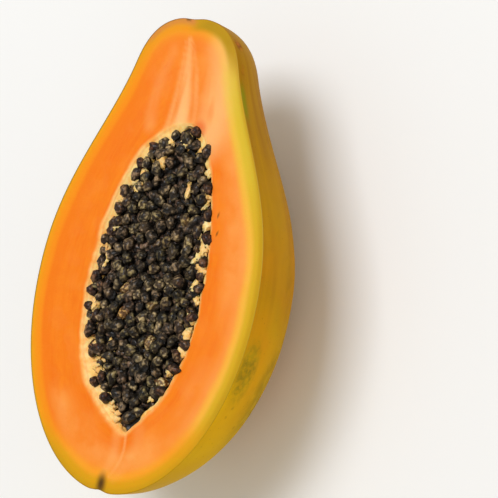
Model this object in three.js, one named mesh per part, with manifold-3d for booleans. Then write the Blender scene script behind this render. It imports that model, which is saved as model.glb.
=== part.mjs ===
// Half of a ripe papaya, cut lengthwise, lying on its back with the cut face up.
// Sizes are millimetres. X runs across the fruit, +Y towards the stem and +Z up out
// of the cut face. The origin is the middle of the small flat spot it rests on.

import * as THREE from 'three';
import { mergeVertices } from 'three/addons/utils/BufferGeometryUtils.js';
import Module from 'manifold-3d';

// The whole fruit, before the cut
const FRUIT_LENGTH = 231;
const WIDEST_RADIUS = 69.7;
const WIDEST_STATION = 0.58; // share of the length, from the stem end
const NECK_RADIUS = 28.6;
const NECK_SHAPE = 1.15; // above 1 holds the belly wide for longer
const SHOULDER = 0.18; // share of the neck that rounds over to the stem
const SHOULDER_POWER = 2.45;
const DEPTH_RATIO = 1.04; // depth of the section over its width
const NECK_BEND = 3.1; // how far the neck curves towards -X by the stem end
const NECK_DROOP = 4.5; // how far it curves down, away from the cut
const LOBE_COUNT = 5;
const LOBE_HEIGHT = 0.009; // share of the radius
const STEM_PIT = { depth: 2.4, radius: 5.5 };
const BLOSSOM_PIT = { depth: 1.2, radius: 4 };

// The cut and the resting spot
const CUT_HEIGHT = 1.3; // the knife passed this far above the axis
const FLAT_CUT = 2; // how much the round skin underneath is pressed flat

// The seed cavity
const CAVITY_TOP = 63; // its stem end, along Y from the middle of the length
const CAVITY_LENGTH = 149;
const CAVITY_RADIUS = 35.3;
const CAVITY_WIDEST = 0.53; // share of its length, from its stem end
const CAVITY_TIP_POWER = 3;
const CAVITY_SHIFT = 1.4; // towards +X from the belly's axis, in the middle
const CAVITY_BOW = 6.5; // how much further its two tips turn that way
const CAVITY_BOW_POWER = 6;
const CAVITY_RIB = 0.03; // share of the radius, five ribs

// The seeds and the packed mass that they stand out of
const SEED_SPACING = 4.9; // least distance between two seeds' centres
const SEED_TRIES = 6000;
const SEED_RADII = [2.7, 2.8, 3.4];
const SEED_SIZE_SPREAD = 0.14;
const SEED_HEIGHT_SPREAD = 0.65;
const SEED_WALL_MARGIN = 4.1; // from a seed's centre to the cavity wall
const SEED_LIFT = 0.7; // from the bed to a seed's centre
const BED_GAP = 1; // between the bed and the cavity wall
const BED_DEPTH = 2.2; // below the cut face, in the middle
const BED_CROWN = 1.4; // how much lower the bed lies at its edges
const BED_SLUMP = 8; // how much lower it lies along -X, near the tip
const BED_SLUMP_POWER = 1.5;
const BED_SLUMP_START = 0.68; // share of the cavity's length, from its stem end
const RANDOM_START = 20731;
const RANDOM_STEP = { times: 1664525, plus: 1013904223, range: 2 ** 32 };

// Fineness of the facets
const FRUIT_STATIONS = 40;
const FRUIT_SIDES = 60;
const CAVITY_STATIONS = 32;
const CAVITY_SIDES = 40;
const BED_STATIONS = 16;
const BED_SIDES = 25;
const BED_STEPS = [8, 14];
const CUTTER_MARGIN = 20;
const MERGE_TOLERANCE = 1e-4;

const wasm = await Module();
wasm.setup();

// Half of a smooth step from 1 at 0 to 0 at 1
function fade(share) {
  return 0.5 + 0.5 * Math.cos(Math.PI * share);
}

// Radius of the round fruit at a share of its length, from the stem end
function fruitRadius(share) {
  if (share >= WIDEST_STATION) {
    const past = (share - WIDEST_STATION) / (1 - WIDEST_STATION);
    return WIDEST_RADIUS * Math.sqrt(Math.max(0, 1 - past * past));
  }
  const back = (WIDEST_STATION - share) / WIDEST_STATION;
  const body = NECK_RADIUS + (WIDEST_RADIUS - NECK_RADIUS) * fade(back ** NECK_SHAPE);
  const over = Math.max(0, (back - 1 + SHOULDER) / SHOULDER);
  return body * (1 - over ** SHOULDER_POWER) ** (1 / SHOULDER_POWER);
}

// Share of the way from the middle of the fruit to its stem end
function neckShare(y) {
  return Math.max(0, 2 * y / FRUIT_LENGTH);
}

// Place of the fruit's curved axis across and in height, at a place along Y
function axisX(y) {
  return NECK_BEND * (1 - neckShare(y) ** 2);
}

function axisZ(y) {
  return -NECK_DROOP * neckShare(y) ** 2;
}

// Place of the cavity's curved axis across the fruit, at a place along Y
function cavityX(y) {
  const share = 2 * (CAVITY_TOP - y) / CAVITY_LENGTH - 1;
  return axisX(0) + CAVITY_SHIFT + CAVITY_BOW * share ** CAVITY_BOW_POWER;
}

// Radius of the cavity at a place along Y, before its ribs
function cavityRadius(y) {
  const share = (CAVITY_TOP - y) / CAVITY_LENGTH;
  if (share <= 0 || share >= 1) return 0;
  if (share < CAVITY_WIDEST) {
    const back = (CAVITY_WIDEST - share) / CAVITY_WIDEST;
    return CAVITY_RADIUS * Math.sqrt(1 - back * back);
  }
  const past = (share - CAVITY_WIDEST) / (1 - CAVITY_WIDEST);
  return CAVITY_RADIUS * (1 - past ** CAVITY_TIP_POWER);
}

// How much the ribs move the cavity wall in or out at an angle around its axis
function ribFactor(x, z) {
  return 1 - CAVITY_RIB * Math.sin(LOBE_COUNT * Math.atan2(z, x));
}

// Whether a ball of the wall margin fits in the cavity, x being counted from its axis
function clearOfWall(x, y, z) {
  return [-1, -0.5, 0, 0.5, 1].every((share) => {
    const wall = cavityRadius(y + share * SEED_WALL_MARGIN) * ribFactor(x, z);
    return Math.hypot(x, z) < wall - SEED_WALL_MARGIN * Math.sqrt(1 - share * share);
  });
}

// Height of the bed that the seeds stand on, in the fruit's own axes
function bedHeight(x, y) {
  const radius = Math.max(cavityRadius(y), 1);
  const across = THREE.MathUtils.clamp((x - cavityX(y)) / radius, -1, 1);
  const along = THREE.MathUtils.clamp((CAVITY_TOP - y) / CAVITY_LENGTH, 0, 1);
  const late = Math.max(0, along - BED_SLUMP_START) / (1 - BED_SLUMP_START);
  const slump = Math.max(0, -across) ** BED_SLUMP_POWER * (1 - fade(late));
  return CUT_HEIGHT - BED_DEPTH - BED_CROWN * across * across - BED_SLUMP * slump;
}

// A repeatable random draw from 0 to 1
function makeRandom(start) {
  let state = start;
  return () => {
    state = (state * RANDOM_STEP.times + RANDOM_STEP.plus) % RANDOM_STEP.range;
    return state / RANDOM_STEP.range;
  };
}

// Moves every corner of a geometry by a rule
function reshape(geometry, rule) {
  const place = geometry.attributes.position;
  const corner = new THREE.Vector3();
  for (let i = 0; i < place.count; i += 1) {
    corner.fromBufferAttribute(place, i);
    rule(corner);
    place.setXYZ(i, corner.x, corner.y, corner.z);
  }
  return geometry;
}

// Turns a closed geometry into a solid that can be joined and cut
function toSolid(geometry) {
  const bare = geometry.clone();
  bare.deleteAttribute('normal');
  bare.deleteAttribute('uv');
  const merged = mergeVertices(bare, MERGE_TOLERANCE);
  const corners = merged.index.array;
  const kept = [];
  for (let i = 0; i < corners.length; i += 3) {
    const [a, b, c] = corners.slice(i, i + 3);
    if (a !== b && b !== c && c !== a) kept.push(a, b, c);
  }
  return new wasm.Manifold(new wasm.Mesh({
    numProp: 3,
    vertProperties: new Float32Array(merged.attributes.position.array),
    triVerts: new Uint32Array(kept),
  }));
}

// Turns a solid back into a geometry
function toGeometry(solid) {
  const mesh = solid.getMesh();
  const geometry = new THREE.BufferGeometry();
  geometry.setAttribute('position', new THREE.BufferAttribute(mesh.vertProperties, 3));
  geometry.setIndex(new THREE.BufferAttribute(mesh.triVerts, 1));
  geometry.computeVertexNormals();
  return geometry;
}

// A body turned about Y from a radius rule, with its stations closer at both ends
function turned(low, high, radiusAt, stations, sides) {
  const profile = [];
  for (let i = 0; i <= stations; i += 1) {
    const y = low + (high - low) * (1 - fade(i / stations));
    const radius = i === 0 || i === stations ? 0 : radiusAt(y);
    profile.push(new THREE.Vector2(radius, y));
  }
  return new THREE.LatheGeometry(profile, sides);
}

function wholeFruit() {
  const half = FRUIT_LENGTH / 2;
  const radiusAt = (y) => fruitRadius(0.5 - y / FRUIT_LENGTH);
  const body = turned(-half, half, radiusAt, FRUIT_STATIONS, FRUIT_SIDES);
  reshape(body, (corner) => {
    const radius = Math.hypot(corner.x, corner.z);
    const lobe = 1 + LOBE_HEIGHT * Math.sin(LOBE_COUNT * Math.atan2(corner.z, corner.x));
    const pit = corner.y > 0 ? STEM_PIT : BLOSSOM_PIT;
    const dip = pit.depth * Math.exp(-((radius / pit.radius) ** 2));
    corner.x = corner.x * lobe + axisX(corner.y);
    corner.z = corner.z * lobe * DEPTH_RATIO + axisZ(corner.y);
    corner.y -= Math.sign(corner.y) * dip;
  });
  return toSolid(body);
}

// The spindle of the cavity, its wall moved in by a gap
function cavity(gap, stations, sides) {
  const low = CAVITY_TOP - CAVITY_LENGTH + gap;
  const high = CAVITY_TOP - gap;
  const radiusAt = (y) => Math.max(0, cavityRadius(y) - gap);
  const body = turned(low, high, radiusAt, stations, sides);
  reshape(body, (corner) => {
    const rib = ribFactor(corner.x, corner.z);
    corner.x = corner.x * rib + cavityX(corner.y);
    corner.z *= rib;
  });
  return toSolid(body);
}

// A block that covers the fruit's length and width between two heights
function block(low, high) {
  const width = 2 * WIDEST_RADIUS + CUTTER_MARGIN;
  const box = new THREE.BoxGeometry(width, FRUIT_LENGTH + CUTTER_MARGIN, high - low);
  box.translate(0, 0, (low + high) / 2);
  return toSolid(box);
}

// The block under the bed: its top follows the bed's height
function underBed() {
  const depth = 2 * CAVITY_RADIUS;
  const width = 2 * CAVITY_RADIUS + CUTTER_MARGIN;
  const length = CAVITY_LENGTH + CUTTER_MARGIN;
  const box = new THREE.BoxGeometry(width, length, depth, BED_STEPS[0], BED_STEPS[1], 1);
  box.translate(cavityX(0), CAVITY_TOP - CAVITY_LENGTH / 2, -depth / 2);
  reshape(box, (corner) => {
    if (corner.z > -depth / 2) corner.z = bedHeight(corner.x, corner.y);
  });
  return toSolid(box);
}

// Where the seeds stand: random places on the bed, each kept clear of the cavity wall
// and of the seeds before it
function seedPlaces() {
  const random = makeRandom(RANDOM_START);
  const places = [];
  for (let i = 0; i < SEED_TRIES; i += 1) {
    const y = CAVITY_TOP - CAVITY_LENGTH * random();
    const middle = cavityX(y);
    const x = middle + CAVITY_RADIUS * (2 * random() - 1);
    const z = bedHeight(x, y) + SEED_LIFT + SEED_HEIGHT_SPREAD * (2 * random() - 1);
    const size = 1 + SEED_SIZE_SPREAD * (2 * random() - 1);
    const turn = [random() * Math.PI, random() * Math.PI, random() * Math.PI];
    const free = places.every((other) => Math.hypot(x - other.x, y - other.y) > SEED_SPACING);
    if (free && clearOfWall(x - middle, y, z)) places.push({ x, y, z, size, turn });
  }
  return places;
}

function seedSolid({ x, y, z, size, turn }) {
  const seed = new THREE.IcosahedronGeometry(1, 0);
  seed.scale(...SEED_RADII.map((radius) => radius * size));
  seed.applyMatrix4(new THREE.Matrix4().makeRotationFromEuler(new THREE.Euler(...turn)));
  seed.translate(x, y, z);
  return toSolid(seed);
}

function makeFruitHalf(restHeight) {
  const above = block(CUT_HEIGHT, 2 * WIDEST_RADIUS);
  const below = block(-2 * WIDEST_RADIUS, -restHeight);
  const hollow = cavity(0, CAVITY_STATIONS, CAVITY_SIDES);
  return wholeFruit().subtract(above).subtract(hollow).subtract(below);
}

function makeSeeds() {
  const bed = cavity(BED_GAP, BED_STATIONS, BED_SIDES).intersect(underBed());
  return seedPlaces().reduce((mass, place) => mass.add(seedSolid(place)), bed);
}

// A named piece, moved so that the resting spot is the origin
function piece(name, solid, look, restHeight) {
  const mesh = new THREE.Mesh(toGeometry(solid), new THREE.MeshStandardMaterial(look));
  const widestY = FRUIT_LENGTH * (0.5 - WIDEST_STATION);
  mesh.name = name;
  mesh.position.set(-axisX(widestY), -widestY, restHeight);
  return mesh;
}

const REST_HEIGHT = WIDEST_RADIUS * DEPTH_RATIO - FLAT_CUT;

const papaya = new THREE.Group();
papaya.add(piece(
  'fruit_half',
  makeFruitHalf(REST_HEIGHT),
  { color: '#f98b2a', roughness: 0.45, metalness: 0 },
  REST_HEIGHT,
));
papaya.add(piece(
  'seeds',
  makeSeeds(),
  { color: '#2b2724', roughness: 0.35, metalness: 0 },
  REST_HEIGHT,
));

export default papaya;
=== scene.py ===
"""The finish of half a ripe papaya: its skin, cut flesh and hollow, its seeds and the pulp around them."""

import math
import random

import bpy
from mathutils import Euler, Matrix, Vector, kdtree, noise


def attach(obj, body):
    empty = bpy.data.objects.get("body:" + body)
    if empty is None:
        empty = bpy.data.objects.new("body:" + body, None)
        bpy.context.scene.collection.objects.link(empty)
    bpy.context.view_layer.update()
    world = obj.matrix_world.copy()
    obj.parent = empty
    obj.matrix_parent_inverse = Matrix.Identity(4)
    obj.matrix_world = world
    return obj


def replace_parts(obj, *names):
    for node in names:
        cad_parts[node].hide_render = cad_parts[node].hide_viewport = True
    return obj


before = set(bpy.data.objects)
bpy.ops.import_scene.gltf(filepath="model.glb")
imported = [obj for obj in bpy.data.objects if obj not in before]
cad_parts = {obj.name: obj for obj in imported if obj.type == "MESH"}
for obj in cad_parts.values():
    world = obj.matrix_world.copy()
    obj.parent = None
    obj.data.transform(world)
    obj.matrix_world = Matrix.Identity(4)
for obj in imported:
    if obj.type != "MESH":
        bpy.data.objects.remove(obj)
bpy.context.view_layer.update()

MM = 0.001

# The whole fruit before the cut, as the solids have it
FRUIT_LENGTH = 231 * MM
WIDEST_RADIUS = 69.7 * MM
WIDEST_STATION = 0.58
NECK_RADIUS = 28.6 * MM
NECK_SHAPE = 1.15
SHOULDER = 0.18
SHOULDER_POWER = 2.45
DEPTH_RATIO = 1.04
NECK_BEND = 3.1 * MM
NECK_DROOP = 4.5 * MM
LOBE_COUNT = 5
LOBE_HEIGHT = 0.009
STEM_PIT = (2.4 * MM, 5.5 * MM)
BLOSSOM_PIT = (1.2 * MM, 4 * MM)
CUT_HEIGHT = 1.3 * MM
FLAT_CUT = 2 * MM

# The hollow, as the solids have it
CAVITY_TOP = 63 * MM
CAVITY_LENGTH = 149 * MM
CAVITY_RADIUS = 35.3 * MM
CAVITY_WIDEST = 0.53
CAVITY_TIP_POWER = 3
CAVITY_SHIFT = 1.4 * MM
CAVITY_BOW = 6.5 * MM
CAVITY_BOW_POWER = 6
CAVITY_RIB = 0.03

# The seeds and the bed they stand on, as the solids have them
SEED_SPACING = 4.9 * MM
SEED_TRIES = 6000
SEED_HEIGHT_SPREAD = 0.65 * MM
SEED_SIZE_SPREAD = 0.14
SEED_WALL_MARGIN = 4.1 * MM
SEED_LIFT = 0.7 * MM
BED_GAP = 1 * MM
BED_DEPTH = 2.2 * MM
BED_CROWN = 1.4 * MM
BED_SLUMP = 8 * MM
BED_SLUMP_POWER = 1.5
BED_SLUMP_START = 0.68
RANDOM_START = 20731
RANDOM_STEP = (1664525, 1013904223, 2 ** 32)

# Fineness of the wrapped grids
ROWS = 180
END_ROWS = 10
SKIN_COLUMNS = 96
CUT_COLUMNS = 48
WALL_COLUMNS = 72
BED_ROWS = 90
BED_COLUMNS = 60

# Relief
RIM_ROUND = 1.4 * MM  # width of the rounding at the rim
RIM_DROP = 0.6 * MM
RIM_WAVER = 0.9 * MM
CALM_RADIUS = 12 * MM  # where the hollow is narrower than this, its edge gets less ragged
LEDGES = (1.8 * MM, 5.2 * MM, 6.5 * MM)  # how far the soft lining stands in at the right, left and stem end
EDGE_ROUND = 0.35 * MM
CUT_RELIEF = 0.22 * MM
CUT_SINK = 0.15 * MM
SKIN_RELIEF = 0.35 * MM
WALL_RELIEF = 0.8 * MM
BED_RELIEF = 0.7 * MM
BED_SINK = 0.6 * MM
SHELF_REACH = (2.2 * MM, 4 * MM, 14 * MM)  # depths where the lining stands in most, starts to thin and ends

# Finer seeds
SEED_RADII = (2.85 * MM, 3.0 * MM, 3.85 * MM)
SEED_SHAPES = 8
# SEED_SHADE: where on each seed its painted shade, near black at the bottom, fades out
SEED_SHADE = (0.4 * MM, 2.4 * MM)  # heights over a seed's middle where it is still dark and fully coloured
SEED_DRAWS = 9
DEEP_SEED_SPACING = 3.5 * MM
DEEP_SEED_DROP = 2.3 * MM
DEEP_SEED_TRIES = 9000
DEEP_SEED_MARGIN = 3 * MM
DEEP_SEED_DRAWS = 5

# The camera, from the outline of the half in the picture
CAMERA_TURN = math.radians(38.38)  # from the cut face's own axis towards +X
CAMERA_TIP = math.radians(-3.09)
CAMERA_ROLL = math.radians(11.88)
CAMERA_DISTANCE = 800 * MM
CAMERA_ASIDE = (-49.02 * MM, -1.68 * MM)
FOCAL_PIXELS = 1675.49
PICTURE_PIXELS = 498
SENSOR_WIDTH = 36
FLOOR_SIZE = 8
FLOOR_DROP = 0.2 * MM


# Shape rules

def fade(share):
    """Half of a smooth step from 1 at 0 to 0 at 1."""
    return 0.5 + 0.5 * math.cos(math.pi * share)


def smooth(value, low, high):
    """A smooth step from 0 at low to 1 at high."""
    share = min(1, max(0, (value - low) / (high - low)))
    return share * share * (3 - 2 * share)


def mix(a, b, share):
    return a + (b - a) * share


def ease(share):
    """Shares drawn closer together at both ends, 0 and 1 kept."""
    return 1 - fade(share)


def fruit_radius(y):
    share = 0.5 - y / FRUIT_LENGTH
    if share >= WIDEST_STATION:
        past = (share - WIDEST_STATION) / (1 - WIDEST_STATION)
        return WIDEST_RADIUS * math.sqrt(max(0, 1 - past * past))
    back = (WIDEST_STATION - share) / WIDEST_STATION
    body = NECK_RADIUS + (WIDEST_RADIUS - NECK_RADIUS) * fade(back ** NECK_SHAPE)
    over = min(1, max(0, (back - 1 + SHOULDER) / SHOULDER))
    return body * (1 - over ** SHOULDER_POWER) ** (1 / SHOULDER_POWER)


def neck_share(y):
    """Share of the way from the middle of the fruit to its stem end."""
    return max(0, 2 * y / FRUIT_LENGTH)


def axis_x(y):
    return NECK_BEND * (1 - neck_share(y) ** 2)


def axis_z(y):
    return -NECK_DROOP * neck_share(y) ** 2


def cavity_radius(y):
    share = (CAVITY_TOP - y) / CAVITY_LENGTH
    if share <= 0 or share >= 1:
        return 0
    if share < CAVITY_WIDEST:
        back = (CAVITY_WIDEST - share) / CAVITY_WIDEST
        return CAVITY_RADIUS * math.sqrt(1 - back * back)
    past = (share - CAVITY_WIDEST) / (1 - CAVITY_WIDEST)
    return CAVITY_RADIUS * (1 - past ** CAVITY_TIP_POWER)


def cavity_x(y):
    share = 2 * (CAVITY_TOP - y) / CAVITY_LENGTH - 1
    return axis_x(0) + CAVITY_SHIFT + CAVITY_BOW * share ** CAVITY_BOW_POWER


def rib_factor(x, z):
    return 1 - CAVITY_RIB * math.sin(LOBE_COUNT * math.atan2(z, x))


def bed_height(x, y):
    radius = max(cavity_radius(y), 1 * MM)
    across = min(1, max(-1, (x - cavity_x(y)) / radius))
    along = min(1, max(0, (CAVITY_TOP - y) / CAVITY_LENGTH))
    late = max(0, (along - BED_SLUMP_START) / (1 - BED_SLUMP_START))
    slump = max(0, -across) ** BED_SLUMP_POWER * (1 - fade(late))
    return CUT_HEIGHT - BED_DEPTH - BED_CROWN * across * across - BED_SLUMP * slump


WIDEST_Y = FRUIT_LENGTH * (0.5 - WIDEST_STATION)
REST_HEIGHT = WIDEST_RADIUS * DEPTH_RATIO - FLAT_CUT
HOME = Vector((-axis_x(WIDEST_Y), -WIDEST_Y, REST_HEIGHT))


def end_at_cut(radius_rule, middle_rule, low, high):
    """The place along Y, between low and high, where a round body just reaches the cut."""
    for _ in range(60):
        middle = (low + high) / 2
        if radius_rule(middle) + middle_rule(middle) > CUT_HEIGHT:
            low = middle
        else:
            high = middle
    return low


def row_stations(radius_rule, middle_rule, bottom, widest, top):
    """Places along Y of a body's rows: those of its two ends, and between them those that the cut passes."""
    high = end_at_cut(radius_rule, middle_rule, widest, top)
    low = end_at_cut(radius_rule, middle_rule, widest, bottom)
    rows = [mix(high, low, 1 - fade(i / ROWS)) for i in range(ROWS + 1)]
    top_end = [mix(top, high, (i / END_ROWS) ** 2) for i in range(END_ROWS)]
    low_end = [mix(bottom, low, (i / END_ROWS) ** 2) for i in reversed(range(END_ROWS))]
    return [*top_end, *rows, *low_end]


FRUIT_ROWS = row_stations(
    lambda y: fruit_radius(y) * DEPTH_RATIO, axis_z, -FRUIT_LENGTH / 2, WIDEST_Y, FRUIT_LENGTH / 2
)
CAVITY_ROWS = row_stations(
    cavity_radius, lambda y: 0, CAVITY_TOP - CAVITY_LENGTH,
    CAVITY_TOP - CAVITY_WIDEST * CAVITY_LENGTH, CAVITY_TOP
)
LAST_ROW = len(FRUIT_ROWS) - 1


def around(radius, height, turn):
    """The angle of a point under the cut: turn is 0 at its edge on +X and 1 at its edge on -X."""
    rise = math.asin(min(1, max(-1, height / max(radius, 1e-9))))
    return rise - turn * (math.pi + 2 * rise)


def on_edge(row, turn):
    return turn in (0, 1) and END_ROWS <= row <= END_ROWS + ROWS


def skin_point(row, turn):
    y = FRUIT_ROWS[row]
    radius = fruit_radius(y)
    angle = around(radius * DEPTH_RATIO, CUT_HEIGHT - axis_z(y), turn)
    lobe = 1 + LOBE_HEIGHT * math.sin(LOBE_COUNT * angle)
    depth, width = STEM_PIT if y > 0 else BLOSSOM_PIT
    dip = depth * math.exp(-(radius / width) ** 2)
    x = radius * lobe * math.cos(angle) + axis_x(y)
    z = radius * lobe * DEPTH_RATIO * math.sin(angle) + axis_z(y)
    if on_edge(row, turn):
        z = CUT_HEIGHT
    z = min(CUT_HEIGHT, max(-REST_HEIGHT, z))
    return HOME + Vector((x, y - math.copysign(dip, y), z))


def wall_point(row, turn):
    y = CAVITY_ROWS[row]
    radius = cavity_radius(y)
    angle = around(radius, CUT_HEIGHT, turn)
    if radius > 0:
        spot = Vector((math.cos(angle) * radius, y, math.sin(angle) * radius))
        ragged = lumps(spot, 9 * MM, 3) + 0.6 * lumps(spot, 3.5 * MM, 4)
        radius += RIM_WAVER * ragged * min(1, radius / CALM_RADIUS)
    rib = rib_factor(math.cos(angle), math.sin(angle))
    x = radius * rib * math.cos(angle) + cavity_x(y)
    z = radius * rib * math.sin(angle)
    if on_edge(row, turn):
        z = CUT_HEIGHT
    return HOME + Vector((x, y, min(CUT_HEIGHT, z)))


def ledge_at(spot):
    """How far the soft lining stands into the hollow, just under the rim beside a spot."""
    radius = cavity_radius(spot.y)
    left = smooth(cavity_x(spot.y) - spot.x, -8 * MM, 16 * MM)
    top = smooth(spot.y, CAVITY_TOP - 20 * MM, CAVITY_TOP - 5 * MM)
    reach_in = mix(mix(LEDGES[0], LEDGES[1], left), LEDGES[2], top)
    ragged = 1 + 0.55 * lumps(spot, 6 * MM, 4) + 0.25 * lumps(spot, 2.5 * MM, 7)
    return reach_in * ragged * min(1, radius / CALM_RADIUS)


def loop_point(body_point, share):
    """A point of the closed line that the cut leaves on a body: down its +X side and back up."""
    step = round(share * 2 * ROWS)
    if step <= ROWS:
        return body_point(END_ROWS + step, 0)
    return body_point(END_ROWS + 2 * ROWS - step, 1)


def cut_point(share, across):
    """A point of the cut face between the skin's edge, across 0, and the hollow's rim, across 1."""
    return loop_point(skin_point, share).lerp(loop_point(wall_point, share), 1 - fade(across))


# Modelling helpers

def show(thing):
    """Puts a new object into the scene."""
    bpy.context.scene.collection.objects.link(thing)
    return thing


def pick(*pieces):
    """Selects these pieces alone, the first as the active one."""
    bpy.ops.object.select_all(action="DESELECT")
    for piece in pieces:
        piece.select_set(True)
    bpy.context.view_layer.objects.active = pieces[0]


def wrap_grid(name, rows, columns, rule):
    """A flat grid wrapped into a surface: rule places a point from its shares of the rows and columns."""
    bpy.ops.mesh.primitive_grid_add(x_subdivisions=columns, y_subdivisions=rows, size=2)
    piece = bpy.context.object
    piece.name = name
    piece.data.name = name
    piece.data.uv_layers[0].name = "flow"
    for vertex in piece.data.vertices:
        vertex.co = rule((vertex.co.y + 1) / 2, (vertex.co.x + 1) / 2)
    return piece


def join(pieces, name):
    """Several pieces made one, under a new name."""
    pick(*pieces)
    bpy.ops.object.join()
    pieces[0].name = name
    pieces[0].data.name = name
    return pieces[0]


def close_seams(piece, distance=2e-6):
    """Merges the corners that meet and turns all faces outwards."""
    pick(piece)
    bpy.ops.object.mode_set(mode="EDIT")
    bpy.ops.mesh.select_all(action="SELECT")
    bpy.ops.mesh.remove_doubles(threshold=distance)
    bpy.ops.mesh.normals_make_consistent(inside=False)
    bpy.ops.object.mode_set(mode="OBJECT")


def smooth_shade(piece, angle=None):
    pick(piece)
    if angle is None:
        bpy.ops.object.shade_smooth()
    else:
        bpy.ops.object.shade_smooth_by_angle(angle=math.radians(angle))


def store(piece, name, values):
    """One number for each corner of a piece, for its material to read."""
    layer = piece.data.attributes.new(name, "FLOAT", "POINT")
    layer.data.foreach_set("value", values)


def tree_of(points):
    tree = kdtree.KDTree(len(points))
    for i, point in enumerate(points):
        tree.insert(point, i)
    tree.balance()
    return tree


def finish_piece(piece):
    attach(piece, "root")
    return piece


def lumps(point, size, seed=0):
    """Soft noise from about -1 to 1 with lumps of a size."""
    return noise.noise(point / size + Vector((seed, seed * 1.7, -seed)))


# Material helpers

def tint(red, green, blue):
    """A colour given as it looks on a screen, from 0 to 255, for a shader."""
    def level(value):
        value = value / 255
        return value / 12.92 if value <= 0.04045 else ((value + 0.055) / 1.055) ** 2.4
    return (level(red), level(green), level(blue), 1)


def put(tree, kind, inputs=None, **settings):
    """One shader node. Its inputs are sockets to link or values to set."""
    made = tree.nodes.new("ShaderNode" + kind)
    for key, value in settings.items():
        setattr(made, key, value)
    for key, value in (inputs or {}).items():
        if isinstance(value, bpy.types.NodeSocket):
            tree.links.new(value, made.inputs[key])
        else:
            made.inputs[key].default_value = value
    return made


def blend(tree, share, first, second):
    """Two colours mixed, the first at a share of 0. Each is a socket, or given as it looks on a screen."""
    first, second = (tint(*side) if isinstance(side, tuple) else side for side in (first, second))
    return put(tree, "Mix", {0: share, 6: first, 7: second}, data_type="RGBA").outputs[2]


def layered(tree, base, layers):
    """A base colour with more colours laid over it in turn, each by its share."""
    for share, colour in layers:
        base = blend(tree, share, base, colour)
    return base


def reach(tree, value, low, high, to_low=0.0, to_high=1.0):
    """A value spread smoothly from one range to another."""
    inputs = {"Value": value, "From Min": low, "From Max": high, "To Min": to_low, "To Max": to_high}
    return put(tree, "MapRange", inputs, interpolation_type="SMOOTHSTEP").outputs[0]


def math_of(tree, operation, first, second=0.0):
    return put(tree, "Math", {0: first, 1: second}, operation=operation).outputs[0]


def times(tree, first, second):
    return math_of(tree, "MULTIPLY", first, second)


def mark(tree, name, strength=1.0):
    """A number that each corner of the piece carries under a name, times a strength."""
    return times(tree, put(tree, "Attribute", attribute_name=name).outputs["Fac"], strength)


def noise_in(tree, place, scale, detail, rough=0.5, wander=0.0):
    inputs = {"Vector": place, "Scale": scale, "Detail": detail, "Roughness": rough, "Distortion": wander}
    return put(tree, "TexNoise", inputs).outputs


def vectors(tree, operation, first, second):
    return put(tree, "VectorMath", {0: first, 1: second}, operation=operation).outputs[0]


def bumps(tree, height, given):
    """The normal of a relief, as strong and deep as the group around it is told."""
    inputs = {"Height": height, "Strength": given["Strength"], "Distance": given["Depth"]}
    return put(tree, "Bump", inputs).outputs[0]


def ramp(tree, value, stops):
    made = put(tree, "ValToRGB", {"Fac": value})
    made.color_ramp.interpolation = "EASE"
    while len(made.color_ramp.elements) < len(stops):
        made.color_ramp.elements.new(1)
    for element, (place, colour) in zip(made.color_ramp.elements, stops):
        element.position = place
        element.color = tint(*colour)
    return made.outputs["Color"]


def new_group(name, inputs, outputs):
    """A shader node group. Its inputs are numbers with their values, or vectors where the value is None."""
    group = bpy.data.node_groups.new(name, "ShaderNodeTree")
    for label, value in inputs.items():
        kind = "Vector" if value is None else "Float"
        socket = group.interface.new_socket(name=label, in_out="INPUT", socket_type="NodeSocket" + kind)
        if value is not None:
            socket.default_value = value
    for label in outputs:
        kind = "Vector" if label == "Normal" else "Float"
        group.interface.new_socket(name=label, in_out="OUTPUT", socket_type="NodeSocket" + kind)
    return group, group.nodes.new("NodeGroupInput").outputs, group.nodes.new("NodeGroupOutput").inputs


def use(tree, group, *values):
    """The outputs of a group. Its first inputs get these values in their order, the rest keep their own."""
    return put(tree, "Group", dict(enumerate(values)), node_tree=group).outputs


def drift(tree, place, scale, detail=3.0):
    return use(tree, DRIFT, place, scale, detail)["Mask"]


def streak_group():
    """Soft streaks that run with the fruit: fine across the flow and long along it."""
    group, given, out = new_group(
        "lengthwise streaks", {"Flow": None, "Across": 20.0, "Along": 2.0, "Wander": 0.4}, ["Mask"]
    )
    stretch = put(group, "CombineXYZ", {"X": given["Across"], "Y": given["Along"], "Z": 1.0}).outputs[0]
    scaled = vectors(group, "MULTIPLY", given["Flow"], stretch)
    made = noise_in(group, scaled, 1.0, 4.0, 0.55, given["Wander"])
    group.links.new(reach(group, made["Fac"], 0.32, 0.68), out["Mask"])
    return group


def drift_group():
    """Broad cloudy change of tone."""
    group, given, out = new_group(
        "tone drift", {"Place": None, "Scale": 20.0, "Detail": 3.0}, ["Mask"]
    )
    made = noise_in(group, given["Place"], given["Scale"], given["Detail"])
    group.links.new(reach(group, made["Fac"], 0.3, 0.7), out["Mask"])
    return group


def speck_group():
    """Small scattered specks: few is the share of cells with none."""
    group, given, out = new_group(
        "specks", {"Place": None, "Scale": 300.0, "Size": 0.25, "Few": 0.6}, ["Mask"]
    )
    cells = put(group, "TexVoronoi", {"Vector": given["Place"], "Scale": given["Scale"]}).outputs
    near = put(group, "MapRange", {"Value": cells["Distance"], "From Min": given["Size"], "From Max": 0.0})
    apart = put(group, "SeparateColor", {"Color": cells["Color"]})
    chosen = math_of(group, "GREATER_THAN", apart.outputs[0], given["Few"])
    group.links.new(times(group, near.outputs[0], chosen), out["Mask"])
    return group


def grain_group():
    """Fine relief of a surface, as a normal."""
    group, given, out = new_group(
        "fine relief", {"Place": None, "Scale": 400.0, "Strength": 0.2, "Depth": 0.001}, ["Normal"]
    )
    made = noise_in(group, given["Place"], given["Scale"], 4.0, 0.6)
    group.links.new(bumps(group, made["Fac"], given), out["Normal"])
    return group


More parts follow.
